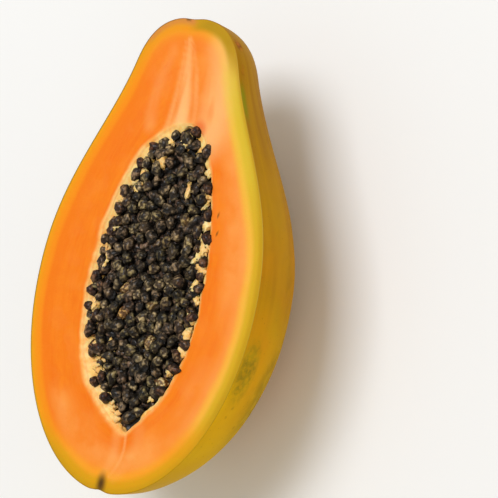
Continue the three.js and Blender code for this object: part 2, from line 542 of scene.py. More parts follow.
def wrinkle_group():
    """Shrivelled folds: a mask that is 1 on the ridges and 0 in the creases, and their normal."""
    group, given, out = new_group(
        "wrinkles", {"Place": None, "Scale": 300.0, "Strength": 0.8, "Depth": 0.001},
        ["Mask", "Normal"]
    )
    wander = noise_in(group, given["Place"], 260.0, 2.0)
    moved = vectors(group, "MULTIPLY", wander["Color"], (0.003, 0.003, 0.003))
    spot = vectors(group, "ADD", given["Place"], moved)
    inputs = {"Vector": spot, "Scale": given["Scale"], "Smoothness": 0.6}
    cells = put(group, "TexVoronoi", inputs, feature="SMOOTH_F1")
    fine = noise_in(group, spot, 900.0, 3.0)
    height = math_of(group, "SUBTRACT", times(group, fine["Fac"], 0.4), cells.outputs["Distance"])
    group.links.new(reach(group, height, -0.42, 0.08), out["Mask"])
    group.links.new(bumps(group, height, given), out["Normal"])
    return group


STREAKS = streak_group()
WRINKLES = wrinkle_group()
DRIFT = drift_group()
SPECKS = speck_group()
GRAIN = grain_group()


def new_material(name, **values):
    """A material with plain values set on its shader, its tree and its object coordinates."""
    material = bpy.data.materials.new(name)
    material.use_nodes = True
    tree = material.node_tree
    for label, value in values.items():
        tree.nodes["Principled BSDF"].inputs[label.replace("_", " ")].default_value = value
    return material, tree, put(tree, "TexCoord").outputs["Object"]


def painted(material, colour, normal=None):
    """The material, with its colour and any relief linked to its shader."""
    tree = material.node_tree
    shader = tree.nodes["Principled BSDF"]
    tree.links.new(colour, shader.inputs["Base Color"])
    if normal is not None:
        tree.links.new(normal, shader.inputs["Normal"])
    return material


def flesh_material():
    """Cut flesh: orange with soft streaks, yellow and olive at the skin and cream at the hollow."""
    material, tree, place = new_material(
        "cut flesh", Roughness=0.42, Specular_IOR_Level=0.16, Coat_Weight=0.05, Coat_Roughness=0.25,
        Subsurface_Weight=0.2, Subsurface_Scale=0.003, Subsurface_Radius=(1, 0.35, 0.1),
    )
    flow = put(tree, "UVMap", uv_map="flow").outputs[0]
    broad = use(tree, STREAKS, flow, 3.5, 7, 0.9)["Mask"]
    fine = use(tree, STREAKS, flow, 13, 17, 1.3)["Mask"]
    clouds = drift(tree, place, 30)
    soft = drift(tree, place, 80, 4)
    small = drift(tree, place, 160, 4)
    tiny = drift(tree, place, 260, 4)
    rind = mark(tree, "rind")
    waver = times(tree, math_of(tree, "SUBTRACT", clouds, 0.5), 0.12)
    depth = math_of(tree, "MAXIMUM", math_of(tree, "ADD", rind, times(tree, waver, rind)), 0)
    patches = times(tree, math_of(tree, "ADD", clouds, soft), 0.5)
    pale = blend(tree, patches, (242, 130, 28), (250, 172, 90))
    base = layered(tree, blend(tree, broad, (240, 116, 2), (243, 130, 10)), (
        (times(tree, fine, 0.34), (245, 142, 28)),
        (times(tree, reach(tree, soft, 0.45, 0.8), 0.28), (247, 146, 50)),
        (times(tree, small, 0.26), (232, 100, 2)),
        (mark(tree, "blush", 0.85), pale),
    ))
    thin_side = ramp(tree, depth, [
        (0, (160, 134, 6)), (0.018, (212, 158, 4)), (0.08, (238, 152, 4)),
        (0.28, (242, 142, 8)), (0.45, (240, 122, 4)),
    ])
    thick_side = ramp(tree, depth, [
        (0, (158, 132, 8)), (0.03, (190, 150, 8)), (0.07, (192, 150, 8)),
        (0.22, (212, 168, 26)),
        (0.4, (242, 180, 60)), (0.62, (246, 154, 70)), (0.9, (243, 130, 24)),
    ])
    low_side = ramp(tree, depth, [
        (0, (176, 138, 4)), (0.04, (200, 150, 0)), (0.2, (216, 156, 0)),
        (0.4, (244, 158, 30)), (0.6, (246, 146, 46)),
    ])
    edge = layered(tree, thin_side, ((mark(tree, "thick"), thick_side), (mark(tree, "low"), low_side)))
    colour = layered(tree, base, (
        (reach(tree, depth, 0.9, 0.3), edge),
        (mark(tree, "vein"), (250, 196, 126)),
        (mark(tree, "comb", 0.5), (242, 122, 16)),
        (mark(tree, "lemon", 0.5), (220, 196, 56)),
        (mark(tree, "lining"), blend(tree, tiny, (255, 220, 140), (252, 184, 92))),
        (mark(tree, "flush"), (236, 88, 10)),
        (mark(tree, "olive"), blend(tree, clouds, (170, 132, 4), (196, 150, 8))),
        (mark(tree, "bruise"), (206, 130, 66)),
        (mark(tree, "stain"), (84, 54, 6)),
    ))
    return painted(material, colour, use(tree, GRAIN, place, 700, 0.2, 0.0005)["Normal"])


def skin_material():
    """Ripe skin: olive yellow in drifts, green in places, with small brown specks and a corky stem scar."""
    material, tree, place = new_material(
        "ripe skin", Roughness=0.5, Specular_IOR_Level=0.03, Coat_Weight=0.0,
    )
    flow = put(tree, "UVMap", uv_map="flow").outputs[0]
    broad = drift(tree, place, 14, 4)
    patch = drift(tree, place, 31, 6)
    small = drift(tree, place, 170, 4)
    speckle = drift(tree, place, 420, 3)
    grit = drift(tree, place, 700, 5)
    lines = use(tree, STREAKS, flow, 16, 5, 0.5)["Mask"]
    freckles = use(tree, SPECKS, place, 420, 0.22, 0.72)["Mask"]
    spots = use(tree, SPECKS, place, 95, 0.16, 0.68)["Mask"]
    colour = layered(tree, blend(tree, broad, (176, 126, 0), (158, 108, 0)), (
        (mark(tree, "foot"), blend(tree, broad, (228, 184, 6), (208, 160, 2))),
        (times(tree, lines, 0.3), (204, 156, 0)),
        (times(tree, mark(tree, "sun"), times(tree, patch, 0.4)), (226, 134, 6)),
        (times(tree, mark(tree, "green"), reach(tree, patch, 0.1, 0.8, 0.15, 0.8)),
         blend(tree, small, (124, 112, 8), (176, 146, 10))),
        (times(tree, mark(tree, "smudge"), reach(tree, speckle, 0.15, 0.7, 0.45, 0.85)),
         blend(tree, small, (128, 108, 12), (172, 142, 10))),
        (mark(tree, "scuff"), blend(tree, speckle, (110, 52, 10), (190, 106, 16))),
        (mark(tree, "fresh"), (132, 134, 4)),
        (times(tree, freckles, 0.5), (110, 76, 6)),
        (times(tree, spots, 0.85), (78, 46, 6)),
        (mark(tree, "cork"), blend(tree, grit, (80, 50, 26), (176, 126, 78))),
    ))
    return painted(material, colour, use(tree, GRAIN, place, 900, 0.18, 0.0005)["Normal"])


def seed_material():
    """Ripe seeds: black and wrinkled under a thin milky coat, greyer, browner or more olive on some. Painted
    shade darkens their creases and, near black, each seed's bottom; painted light makes their ridges paler.
    """
    material, tree, place = new_material(
        "ripe seeds", Roughness=0.5, Specular_IOR_Level=0.2, Coat_Weight=0.22, Coat_Roughness=0.12,
        Sheen_Weight=0.02, Sheen_Roughness=0.4, Sheen_Tint=(0.8, 0.66, 0.42, 1),
    )
    hue = mark(tree, "hue")
    folds = use(tree, WRINKLES, place, 480, 1, 0.0022)
    # Painted light and shade: the wrinkle mask is 1 on the ridges and 0 in the creases; the colours below
    # are painted darker in the creases as shade and paler on the ridges as painted light
    creases = folds["Mask"]
    milky = drift(tree, place, 210, 3)
    patch = drift(tree, place, 150, 2)
    milky_lit_ridges = times(tree, times(tree, milky, creases), 0.8)
    cloudy = math_of(tree, "ADD", mark(tree, "tone", 1.2), milky)
    colour = layered(tree, blend(tree, creases, (4, 3, 1), (34, 26, 16)), (
        (times(tree, cloudy, times(tree, milky, 0.6)),
         blend(tree, creases, (70, 54, 34), (236, 206, 150))),
        (times(tree, reach(tree, hue, 0.35, 0.1), milky_lit_ridges), (136, 98, 86)),
        (times(tree, reach(tree, hue, 0.45, 0.8), milky_lit_ridges), (146, 132, 72)),
        (times(tree, reach(tree, hue, 0.88, 0.96), reach(tree, patch, 0.5, 0.8)),
         blend(tree, creases, (96, 68, 28), (232, 200, 128))),
        (mark(tree, "warm", 0.7), blend(tree, creases, (48, 18, 8), (128, 66, 34))),
    ))
    # Painted shade: each seed goes near black towards its bottom, by rise
    colour = blend(tree, mark(tree, "rise"), (5, 3, 1), colour)
    return painted(material, colour, folds["Normal"])


def pale_seed_material():
    """Seeds that never ripened: cream and tan, mottled with brown, with painted shade in brown in their
    creases.
    """
    material, tree, place = new_material(
        "unripe seeds", Roughness=0.38, Specular_IOR_Level=0.3, Coat_Weight=0.3, Coat_Roughness=0.2,
        Subsurface_Weight=0.2, Subsurface_Scale=0.0015, Subsurface_Radius=(1, 0.5, 0.2),
    )
    folds = use(tree, WRINKLES, place, 560, 1, 0.0016)
    mottle = drift(tree, place, 190, 4)
    colour = layered(tree, blend(tree, mark(tree, "tone"), (250, 224, 160), (222, 158, 62)), (
        (times(tree, mottle, 0.8), (116, 84, 44)),
        # Painted shade: brown in the creases of the wrinkles
        (math_of(tree, "SUBTRACT", 1, folds["Mask"]), (96, 62, 24)),
    ))
    return painted(material, colour, folds["Normal"])


def pulp_material():
    """The soft pulp that holds the seeds, cream yellow and moist, and the torn bits of it between them."""
    material, tree, place = new_material(
        "soft pulp", Roughness=0.4, Specular_IOR_Level=0.25, Coat_Weight=0.15, Coat_Roughness=0.2,
        Subsurface_Weight=0.3, Subsurface_Scale=0.001, Subsurface_Radius=(1, 0.6, 0.25),
    )
    mottle = drift(tree, place, 500)
    broad = drift(tree, place, 150)
    colour = layered(tree, blend(tree, mottle, (255, 236, 172), (250, 206, 118)), (
        (times(tree, broad, 0.45), (232, 160, 66)),
        (mark(tree, "warm"), (250, 160, 70)),
    ))
    return painted(material, colour, use(tree, GRAIN, place, 1000, 0.5, 0.0008)["Normal"])


def thread_material():
    """Fine threads of the lining, dried brown."""
    material, tree, place = new_material("dry threads", Roughness=0.6, Specular_IOR_Level=0.2)
    mottle = drift(tree, place, 300)
    return painted(material, blend(tree, mottle, (120, 68, 30), (196, 128, 60)))


def bed_material():
    """The dark wet mass of seeds and gel below the ones that show: dark as the seeds are, and kept near
    black as painted shade down between them.
    """
    material, tree, place = new_material(
        "packed seeds", Roughness=0.4, Specular_IOR_Level=0.3, Coat_Weight=0.2, Coat_Roughness=0.2,
    )
    colour = blend(tree, drift(tree, place, 260, 4), (5, 3, 2), (24, 18, 11))
    return painted(material, colour, use(tree, GRAIN, place, 500, 0.7, 0.001)["Normal"])


def floor_material():
    material, tree, place = new_material("pale floor", Roughness=0.6, Specular_IOR_Level=0.2)
    return painted(material, blend(tree, drift(tree, place, 1.5), (239, 240, 239), (241, 242, 241)))


# The fruit

# Pale strands on the cut face: three points of each in millimetres, its widths at both ends and its strength
STRANDS = [
    ([(5, 60), (4, 80), (0, 104)], 6.5, 1.6, 0.9),
    ([(-3, 58), (-1, 80), (-2, 103)], 2.6, 1.2, 0.45),
    ([(13, 61), (10, 82), (2, 103)], 2.4, 1.2, 0.4),
    ([(24, 60), (25, 80), (20, 100)], 11.0, 8.0, 0.7),
    ([(-14, 62), (-14, 80), (-9, 98)], 4.0, 3.0, 0.22),
    ([(12, -86), (12.5, -97), (7, -107)], 1.0, 0.8, 0.4),
    ([(20, -84), (18, -96), (10, -107)], 4.0, 2.4, 0.16),
    ([(7, -88), (7, -98), (3, -107)], 3.4, 2.0, 0.2),
]

# Brown scuffs of the skin beside the cut: their places and sizes in millimetres
SKIN_SPOTS = [
    ((26, 103.5, -3), 4.2), ((36.2, 92.0, -2), 3.4), ((35.0, 94.5, -3), 3.0), ((57.5, 38, -3), 2.6),
]

# Stains of the cut face: place, where they start to fade and end, in millimetres, stretch and strength
STAINS = [
    (3.5, -111.5, 0.4, 4.4, 0.55, 1), (-3.5, 114.5, 0.4, 2.2, 1.4, 0.9), (41.5, 14, 0.3, 1.0, 1, 0.95),
    (39.7, 22.8, 0.3, 0.9, 1, 0.95),
]
FLUSH = (17.5, 61.5, 2, 6)  # a redder spot of the flesh: its place, and where it starts to fade and ends
FRESH_SPOT = ((42, 78, -1), 13)  # a greener spot of the skin: its place and size
SMUDGE = (-45, -6, 21, 10)  # a duller patch of the skin: its place along the fruit and up, its half sizes
SCARS = [(1.2, 2.4), (4.2, 5.6)]  # where the corky scar starts to fade and ends, at the blossom and the stem
SCAR_START = 100  # how far along from the fruit's middle a scar can be
RIND_DEPTH = 20  # how far from the skin its colours reach into the cut face

SKIN, CUT, WALL = 0, 1, 2
CUT_MARKS = ("comb", "lemon", "blush", "vein", "bruise", "olive", "stain", "flush")


def strand_line(points, steps=16):
    """Points of a soft curve through three points given in millimetres."""
    first, second, third = (Vector((x, y, 0)) * MM for x, y in points)
    bow = second * 2 - (first + third) / 2
    shares = [i / steps for i in range(steps + 1)]
    return [(first * (1 - t) ** 2 + bow * 2 * t * (1 - t) + third * t * t, t) for t in shares]


STRAND_LINES = [(strand_line(points), wide, narrow, strength) for points, wide, narrow, strength in STRANDS]


def vein_strength(spot):
    """How pale the strands make a spot of the cut face, from 0 to 1. Beside the hollow there are none."""
    if (CAVITY_TOP - CAVITY_LENGTH) * 0.9 < spot.y < CAVITY_TOP * 0.6:
        return 0
    best = 0
    for line, wide, narrow, strength in STRAND_LINES:
        for point, t in line:
            gap = math.hypot(spot.x - point.x, (spot.y - point.y) * 0.8)
            width = mix(wide, narrow, t) * MM
            if gap < width * 1.5:
                best = max(best, strength * (1 - smooth(gap, 0.15 * width, 1.5 * width)) * (1 - 0.5 * t))
    return best


def near_spot(spot, x, y, inner, outer, stretch=1.0):
    """1 within an inner distance of a place on the cut face, 0 past an outer one, all in millimetres."""
    gap = math.hypot(spot.x / MM - x, (spot.y / MM - y) * stretch)
    return 1 - smooth(gap, inner, outer)


def near_place(spot, place, size):
    """1 at a place on the skin given in millimetres, falling to 0 at its size."""
    return 1 - smooth((spot / MM - Vector(place)).length, 0.3 * size, size)


def band(value, start, full, fading, end):
    """1 from full to fading, falling smoothly to 0 at start and at end."""
    return smooth(value, start, full) * (1 - smooth(value, fading, end))


def cut_marks(spot, to_edge, to_rim, right, wobble):
    """The marks of a corner of the cut face, with its distances from the skin and the hollow."""
    x, y, _ = spot / MM
    left = 1 - smooth(x, -10, 22)
    tail = smooth(-y, 38, 66)
    rim_width = mix(mix(1.8, 2.8, tail), mix(3.4, 5.2, tail), left) * (1 + 0.5 * wobble)
    waist = smooth(-y, 2, 30) * (1 - 0.4 * smooth(-y, 40, 60))
    pale = max(right * (1 - 0.85 * waist), smooth(-y, 66, 86), 0.15 * smooth(y, 30, 80))
    streaky = smooth(lumps(Vector((spot.x * 2.6, spot.y * 0.3, 0)), 9 * MM, 12), -0.05, 0.4)
    beside_stem = smooth(y, 99, 106) * (1 - smooth(x, -1, 3))
    return {
        "comb": band(y, 60, 72, 84, 100) * streaky * smooth(to_edge, 13, 20),
        "lemon": right * band(y, 10, 55, 86, 100) * band(to_edge, 0.5, 2.5, 6, 13),
        "blush": pale * smooth(to_rim, 5, 14),
        "vein": vein_strength(spot),
        "bruise": (0.75 + 0.5 * wobble) * beside_stem * (1 - smooth(to_edge, 1.2, 4.5)),
        "olive": smooth(y, 84, 104) * smooth(x, -4, 6) * (1 - smooth(to_edge, 3.5, 7)),
        "stain": max(strength * near_spot(spot, *stain) for *stain, strength in STAINS),
        "flush": 0.6 * near_spot(spot, *FLUSH),
        "lining": (1 - smooth(to_rim, 0.25 * rim_width, rim_width)) * mix(0.5, 0.8, left),
    }


def marks_of(spot, kind, to_edge, to_rim):
    """What the materials need to know of one corner of the fruit. Distances are in millimetres."""
    x, y, z = spot / MM
    right = smooth(x, -10, 35)
    low = smooth(-y, mix(84, 66, right), mix(106, 98, right))
    wobble = noise.noise(spot / (22 * MM))
    if CUT in kind:
        marks = cut_marks(spot, to_edge, to_rim, right, wobble)
    else:
        marks = dict.fromkeys(CUT_MARKS, 0)
        marks["lining"] = float(WALL in kind)
    marks.update({
        "rind": 1 if kind == {WALL} else min(1, to_edge / RIND_DEPTH),
        "thick": max(right * (1 - low), 0.25 * smooth(y, 80, 104)),
        "low": low,
        "sun": smooth(noise.noise(spot / (90 * MM) + Vector((3, 11, 4))), 0.0, 0.6),
        "green": smooth(noise.noise(spot / (52 * MM) + Vector((0, 7, 0))), 0.05, 0.5)
        * (1 - 0.5 * low) * mix(0.25, 1, smooth(-z, 14, 36)),
        "foot": smooth(-y, 0, 60),
        "smudge": 0,
        "fresh": 0.8 * near_place(spot, *FRESH_SPOT) * (1 - smooth(to_edge, 1.5, 5)),
        "scuff": 0,
        "cork": 0,
    })
    if SKIN in kind:
        marks["scuff"] = max(near_place(spot, place, size) for place, size in SKIN_SPOTS)
        if x > 0:
            along, up, half_long, half_high = SMUDGE
            marks["smudge"] = 1 - smooth(math.hypot((y - along) / half_long, (z - up) / half_high), 0.35, 1)
    if abs(y) > SCAR_START:
        marks["cork"] = 1 - smooth(math.hypot(x, z - axis_z(spot.y) / MM), *SCARS[y > 0])
    return marks


def relief_of(point, normal, kind, to_edge, to_rim, cork):
    """Where one corner of the fruit goes once its surface is no longer perfectly even."""
    if CUT in kind:
        wave = lumps(point, 14 * MM, 6) * 0.6 + lumps(point, 4 * MM, 8) * 0.4
        drop = RIM_DROP * (1 - smooth(to_rim, 0, RIM_ROUND))
        edge_drop = max(0, EDGE_ROUND - to_edge) * 0.7
        point.z += wave * CUT_RELIEF * smooth(to_edge, 0, 5 * MM) - CUT_SINK - drop - edge_drop
    elif kind == {WALL}:
        most, thinning, end = SHELF_REACH
        shelf = math.sin(math.pi / 2 * min(1, to_rim / most)) * (1 - smooth(to_rim, thinning, end))
        rough = lumps(point, 5 * MM, 4) + 0.7 * lumps(point, 2 * MM, 5)
        uneven = WALL_RELIEF * smooth(to_rim, 0, 2.5 * MM) * rough
        point += normal * (uneven + ledge_at(point - HOME) * shelf)
        point.z -= (RIM_DROP + CUT_SINK) * max(0, 1 - to_rim / (3 * MM))
    elif point.z > 1 * MM:
        soft = (lumps(point, 26 * MM, 1) * SKIN_RELIEF - 0.2 * MM) * smooth(point.z, 1 * MM, 12 * MM)
        rough = lumps(point, 1.3 * MM, 2) * 0.25 * MM * cork
        point += normal * (soft * smooth(to_edge, 0, 6 * MM) + rough)
    return point


def shape_and_mark(piece):
    """Gives the closed fruit its soft relief and rounded edges, and the marks that its materials read."""
    steps = [i / (2 * ROWS) for i in range(2 * ROWS)]
    edge = tree_of([loop_point(skin_point, step) for step in steps])
    rim = tree_of([loop_point(wall_point, step) for step in steps])
    kinds = [set() for _ in piece.data.vertices]
    layer = piece.data.attributes["kind"].data
    for face in piece.data.polygons:
        for i in face.vertices:
            kinds[i].add(layer[face.index].value)
    corners = [(vertex.co.copy(), vertex.normal.copy()) for vertex in piece.data.vertices]
    marks = []
    places = []
    for (point, normal), kind in zip(corners, kinds):
        to_edge = edge.find(point)[2]
        to_rim = rim.find(point)[2]
        marks.append(marks_of(point - HOME, kind, to_edge / MM, to_rim / MM))
        places.extend(relief_of(point, normal, kind, to_edge, to_rim, marks[-1]["cork"]))
    piece.data.vertices.foreach_set("co", places)
    piece.data.update()
    for name in marks[0]:
        store(piece, name, [each[name] for each in marks])


def make_fruit():
    skin = wrap_grid("skin", LAST_ROW, SKIN_COLUMNS, lambda a, b: skin_point(round(a * LAST_ROW), ease(b)))
    cut = wrap_grid("cut", 2 * ROWS, CUT_COLUMNS, cut_point)
    wall = wrap_grid("wall", LAST_ROW, WALL_COLUMNS, lambda a, b: wall_point(round(a * LAST_ROW), ease(b)))
    for piece, kind in ((skin, SKIN), (cut, CUT), (wall, WALL)):
        piece.data.materials.append(skin_material_made if piece == skin else flesh_material_made)
        layer = piece.data.attributes.new("kind", "INT", "FACE")
        layer.data.foreach_set("value", [kind] * len(piece.data.polygons))
    fruit = join([skin, cut, wall], "papaya_half")
    close_seams(fruit)
    shape_and_mark(fruit)
    smooth_shade(fruit, angle=50)
    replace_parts(fruit, "fruit_half")
    return finish_piece(fruit)


# The seeds

def seed_random(start):
    state = start
    factor, plus, span = RANDOM_STEP
    while True:
        state = (state * factor + plus) % span
        yield state / span


def clear_of_wall(x, y, z):
    for share in (-1, -0.5, 0, 0.5, 1):
        wall = cavity_radius(y + share * SEED_WALL_MARGIN) * rib_factor(x, z)
        if math.hypot(x, z) >= wall - SEED_WALL_MARGIN * math.sqrt(1 - share * share):
            return False
    return True


def seed_places():
    """Where the seeds stand, by the same rule and draws as the solids."""
    draw = seed_random(RANDOM_START)
    places = []
    for _ in range(SEED_TRIES):
        y = CAVITY_TOP - CAVITY_LENGTH * next(draw)
        middle = cavity_x(y)
        x = middle + CAVITY_RADIUS * (2 * next(draw) - 1)
        z = bed_height(x, y) + SEED_LIFT + SEED_HEIGHT_SPREAD * (2 * next(draw) - 1)
        size = 1 + SEED_SIZE_SPREAD * (2 * next(draw) - 1)
        turn = Euler([next(draw) * math.pi for _ in range(3)])
        free = all(math.hypot(x - other[0].x, y - other[0].y) > SEED_SPACING for other in places)
        if free and clear_of_wall(x - middle, y, z):
            places.append((Vector((x, y, z)), size, turn))
    return places


def any_turn(draw):
    return Euler([draw.uniform(0, math.pi) for _ in range(3)])


def deep_places(top):
    """Places for the seeds seen down between the top ones."""
    draw = random.Random(DEEP_SEED_DRAWS)
    places = []
    for _ in range(DEEP_SEED_TRIES):
        y = CAVITY_TOP - CAVITY_LENGTH * draw.random()
        middle = cavity_x(y)
        x = middle + CAVITY_RADIUS * (2 * draw.random() - 1)
        z = bed_height(x, y) - DEEP_SEED_DROP
        if not math.hypot(x - middle, z) < cavity_radius(y) - DEEP_SEED_MARGIN:
            continue
        near = any(math.hypot(x - other[0].x, y - other[0].y) < DEEP_SEED_SPACING for other in top + places)
        if not near:
            places.append((Vector((x, y, z)), 0.9 + 0.2 * draw.random(), any_turn(draw)))
    return places


def ball_shape(name, fineness, rule):
    """A ball of radius 1 at the origin, with each of its corners moved by a rule."""
    bpy.ops.mesh.primitive_ico_sphere_add(subdivisions=fineness, radius=1)
    shape = bpy.context.object
    shape.name = name
    for vertex in shape.data.vertices:
        vertex.co = rule(vertex.co.copy())
    return shape


def seed_shape(number):
    """One wrinkled seed, narrower at one end, at the origin."""
    def rule(point):
        turn = math.atan2(point.y, point.x)
        taper = 1 - (0.1 + 0.03 * number) * point.z
        ridge = 1 + 0.06 * math.sin((3 + number % 3) * turn + number)
        ridge += 0.32 * lumps(point, 0.6, number * 3.1) + 0.16 * lumps(point, 0.28, number)
        return Vector((
            point.x * SEED_RADII[0] * taper * ridge,
            point.y * SEED_RADII[1] * taper * ridge,
            point.z * SEED_RADII[2] * (1 + 0.04 * (number % 3)) * ridge,
        ))
    return ball_shape(f"seed_shape_{number}", 2, rule)


def place_copies(shapes, places, name, material, look):
    """Copies of the shapes at their places, joined. look gives each one its tone, hue and warmth; rise tells
    the seed material where to paint shade at each copy's bottom.
    """
    copies = []
    for i, (place, size, turn) in enumerate(places):
        shape = shapes[i % len(shapes)]
        copy = show(shape.copy())
        copy.data = shape.data.copy()
        turned = turn.to_matrix().to_4x4() @ Matrix.Scale(size, 4)
        copy.data.transform(Matrix.Translation(HOME + place) @ turned)
        for label, value in zip(("tone", "hue", "warm"), look(place)):
            store(copy, label, [value] * len(copy.data.vertices))
        # Painted shade: rise is 0 low on each copy and 1 high up; the seed material paints near black where
        # it is low
        middle = HOME.z + place.z
        heights = [corner.co.z - middle for corner in copy.data.vertices]
        store(copy, "rise", [smooth(height, *SEED_SHADE) for height in heights])
        copies.append(copy)
    made = join(copies, name)
    made.data.materials.clear()
    made.data.materials.append(material)
    smooth_shade(made)
    for shape in shapes:
        bpy.data.objects.remove(shape)
    return finish_piece(made)


# Places on the cut face in millimetres: unripe seeds, olive seeds, seeds at the rim and bits of pulp
UNRIPE_SPOTS = [(13.8, -38.8), (-7.7, -18.3), (-4.3, -30), (24.4, -58.5)]
OLIVE_SPOTS = [(21.3, 20.1), (6.7, 38.9), (10, -25.4), (-10.5, -33.4), (-6.1, -42), (10.3, -47)]
RIM_SPOTS = [
    (16.3, 60.2), (24.9, 52), (-8.6, 50.9), (-15.5, 42.5), (-20.6, 27.2), (-24.4, 10.6), (-27.2, 2.6),
    (-27.6, -15.6), (-28.2, -30.4), (-20.4, -51.8), (-14.6, -65.6), (31, 34), (34, 22), (36.3, 11),
    (37, 0), (37.6, -12), (37.4, -26), (36, -39), (33, -51), (27.5, -62), (-22.5, 19), (-26.4, -8),
    (-28.6, -23), (-25.6, -42), (-16.6, -49.5),
    (-23.4, -34), (-23.6, -20), (-10.6, -62.5), (-4.6, -71.7),
]
PULP_SPOTS = [
    (-1.6, 45.4), (-12.6, 38.4), (-13.6, 30.3), (-19.7, 23.7), (17.8, 32.8), (30.2, 26.8), (-22.7, 10.9),
    (28.6, 13.2), (34.2, 17.7), (7.9, 52.7), (32.6, 2.1), (34.5, -10.2), (-25, -7.7), (-25.2, -29),
    (-9.4, -46.5), (-10.8, -60), (34.6, 5.6), (-25.4, -1.8), (36.5, -17.7), (34.7, -34.7), (30, -52),
    (32, 31), (28, 42), (36, 9), (36.5, -3), (37, -27), (35.5, -43), (22, -66), (12, 55), (2, 55), (20, 51),
]
PULP_SHAPES = 6
RIM_SEED_SIZES = (0.82, 0.98)
RIM_SEED_HEIGHTS = (-0.2, 1.1)  # in millimetres, over the middle of the fruit
UNRIPE_SIZE = 0.95


def make_seeds():
    draw = random.Random(SEED_DRAWS)
    top = seed_places()
    unripe = []
    for x, y in UNRIPE_SPOTS:
        spot = Vector((x, y, 0)) * MM
        unripe.append(min(top, key=lambda seed: (seed[0].xy - spot.xy).length))
    dark = [seed for seed in top if seed not in unripe]
    pale = [(place, size * UNRIPE_SIZE, turn) for place, size, turn in unripe]
    at_rim = []
    for x, y in RIM_SPOTS:
        place = Vector((x, y, draw.uniform(*RIM_SEED_HEIGHTS))) * MM
        at_rim.append((place, draw.uniform(*RIM_SEED_SIZES), any_turn(draw)))

    def ripe_look(place):
        edge = abs(place.x - cavity_x(place.y)) / max(cavity_radius(place.y), 1 * MM)
        warm = smooth(edge, 0.6, 0.92) * draw.uniform(0, 1) + (0.3 if draw.random() < 0.1 else 0)
        olive = any(near_spot(place, x, y, 2.4, 2.8) for x, y in OLIVE_SPOTS)
        return draw.random(), draw.uniform(0.94, 1) if olive else 0.92 * draw.random(), min(1, warm)

    def seeds(name, places, material, look):
        shapes = [seed_shape(i) for i in range(SEED_SHAPES)]
        return place_copies(shapes, places, name, material, look)

    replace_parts(seeds("seeds_top", dark, seed_material_made, ripe_look), "seeds")
    # The deep seeds get the lowest tone: painted shade down between the top seeds
    seeds("seeds_deep", deep_places(top), seed_material_made, lambda place: (0, 0, 0.1))
    seeds("seeds_at_rim", at_rim, seed_material_made,
          lambda place: (draw.uniform(0.3, 1), 0.2, draw.uniform(0.4, 1)))
    seeds("seeds_unripe", pale, pale_seed_material_made, lambda place: (draw.random(), 0, 1))


# The pulp between the lining and the seeds

PULP_DRAWS = 33
TOOTH_COUNT = 96
HAIR_COUNT = 70
TOOTH_LONG = (3.6, 6.2)  # in millimetres, like the next three
BIT_LONG = (5, 8)
BIT_HIGH = (0.7, 1.7)  # over the bed
HAIR_LONG = (2.5, 5)
BIT_MARGIN = 0.8 * MM
TUCK_DEPTH = 0.4 * MM  # how far under the cut face the pulp stays that reaches into the flesh
TUCK_START = 0.3 * MM
HAIR_SHAPES = 4
TOOTH_TURNS = (0.93, 0.985)  # shares of the way round under the cut, from the right rim to the left
HAIR_TURNS = (0.96, 0.995)


def pulp_shape(number):
    """A torn tongue of pulp, 1 long and thickest at its foot, lying from the origin along Z."""
    def rule(point):
        along = (point.z + 1) / 2
        torn = 1 + 0.9 * lumps(point, 0.8, number * 2.3)
        width = mix(0.3, 0.14 + 0.03 * (number % 3), along) * torn
        bow = 0.16 * math.sin(math.pi * along) * math.cos(number * 2)
        return Vector((point.x * width + bow, point.y * width * 0.5, along * (0.9 + 0.1 * torn)))
    return ball_shape(f"pulp_shape_{number}", 2, rule)


def scrap_shape(number):
    """A torn flat bit of pulp, about 1 long, with its middle at the origin."""
    def rule(point):
        torn = 1 + 0.9 * lumps(point, 0.9, number * 1.9) + 0.7 * lumps(point, 0.4, number)
        torn += 0.4 * lumps(point, 0.2, number)
        thick = point.y * 0.18 + 0.08 * lumps(point, 0.5, number + 3)
        return Vector((point.x * 0.3 * torn, thick, point.z * 0.5 * torn))
    return ball_shape(f"scrap_shape_{number}", 3, rule)


def hair_shape(number):
    """A fine dry thread, 1 long and bowed, standing on the origin along Z."""
    def hair_point(along, across):
        thick = 0.035 * (1 - 0.6 * along) if 0 < along < 1 else 0
        turn = 2 * math.pi * across
        bow = 0.14 * math.sin(math.pi * along + number)
        return Vector((thick * math.cos(turn) + bow, thick * math.sin(turn) + 0.4 * bow, along))
    hair = wrap_grid(f"hair_shape_{number}", 6, 3, hair_point)
    close_seams(hair, 1e-5)
    return hair


def at_lining(draw, turns, long):
    """A place on the lining's edge under the left rim or the stem end, and the way in over the seeds."""
    along = draw.random() ** 0.85
    y = mix(CAVITY_TOP - 2.5 * MM, CAVITY_TOP - CAVITY_LENGTH + 3 * MM, along)
    radius = cavity_radius(y)
    angle = around(radius, CUT_HEIGHT, draw.uniform(*turns))
    spot = Vector((radius * math.cos(angle) + cavity_x(y), y, radius * math.sin(angle)))
    end = smooth(y, CAVITY_TOP - 20 * MM, CAVITY_TOP)
    slant = draw.uniform(-0.6, 0.6) - 1.5 * end
    inward = Vector((-math.cos(angle), slant, draw.uniform(-0.25, 0.2))).normalized()
    foot = spot + Vector((inward.x, inward.y, 0)) * ledge_at(spot) * 0.75
    return foot, draw.uniform(*long) * MM, inward.to_track_quat("Z", "Y")


def tuck_under_cut(piece):
    """Keeps what reaches past the rim of the hollow below the cut face, inside the flesh."""
    highest = HOME.z + CUT_HEIGHT - RIM_DROP - CUT_SINK - TUCK_DEPTH
    for vertex in piece.data.vertices:
        spot = vertex.co - HOME
        if abs(spot.x - cavity_x(spot.y)) > cavity_radius(spot.y) - TUCK_START:
            vertex.co.z = min(vertex.co.z, highest)


